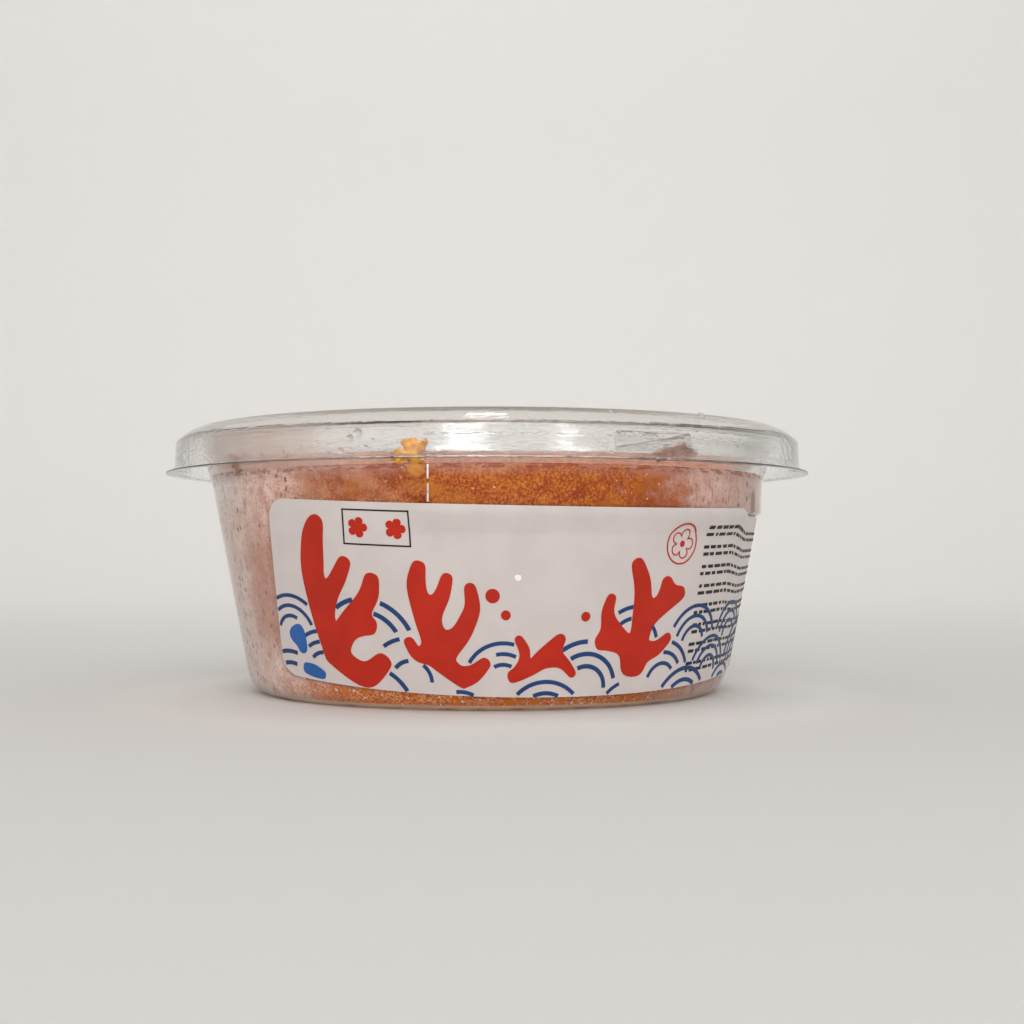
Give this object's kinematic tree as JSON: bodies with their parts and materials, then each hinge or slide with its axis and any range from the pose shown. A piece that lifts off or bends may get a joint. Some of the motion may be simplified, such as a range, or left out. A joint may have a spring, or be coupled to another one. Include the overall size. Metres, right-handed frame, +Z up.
{
  "type": "lidded tub of flying fish roe",
  "caption": "Clear round deli tub with a push-fit lid, filled with flying fish roe and wrapped on one side by a printed paper label.",
  "frame": {"origin": "on the floor, at the tub's axis", "axes": "+Z up along the tub's axis; the label's front faces -Y"},
  "size_m": [0.134, 0.134, 0.0543],
  "materials": {
    "tub_clear": "clear thermoformed plastic, glossy and slightly wavy",
    "lid_clear": "clear thermoformed plastic, glossy, with a few droplets",
    "roe": "wet orange-red fish eggs, frosted pink where they press on cold plastic",
    "label_paper": "smooth white coated paper, printed in red, blue and black"
  },
  "bodies": {
    "root": {"tub": "tub_clear", "lid": "lid_clear", "roe": "roe", "label": "label_paper"}
  },
  "joints": []
}
